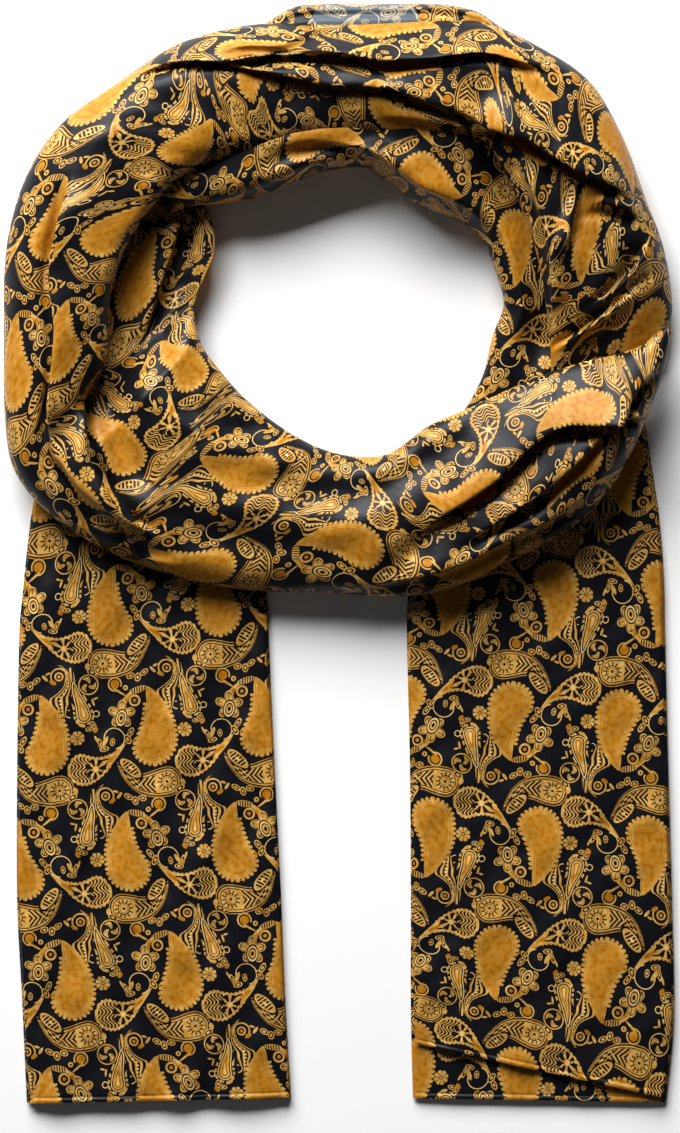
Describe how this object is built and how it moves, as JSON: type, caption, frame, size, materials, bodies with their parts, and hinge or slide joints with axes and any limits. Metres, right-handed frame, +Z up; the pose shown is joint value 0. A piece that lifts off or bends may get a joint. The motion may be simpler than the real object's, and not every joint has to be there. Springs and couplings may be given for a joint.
{
  "type": "silk scarf",
  "caption": "Long printed silk scarf folded lengthwise, wound round once as at a neck and laid flat with both tails side by side.",
  "frame": {"origin": "on the table, under the middle of the whole scarf's bounding box", "axes": "+X across the two tails, +Y from the tails' ends to the back of the neck, +Z up from the table"},
  "size_m": [0.3267, 0.5361, 0.0384],
  "materials": {
    "printed_silk": "soft sheen silk, near-black ground with an all-over gold paisley print",
    "silk_wrong_side": "paler blue-grey wrong side of the printed silk"
  },
  "bodies": {
    "root": {"left_tail_under": "printed_silk", "left_tail_top": "printed_silk", "right_tail_under": "printed_silk", "right_tail_top": "printed_silk", "front_wrap": "printed_silk", "left_wrap": "printed_silk", "back_wrap": "printed_silk", "right_wrap": "printed_silk", "inner_back": "printed_silk", "inner_right": "printed_silk", "back_fold": "silk_wrong_side"}
  },
  "joints": []
}
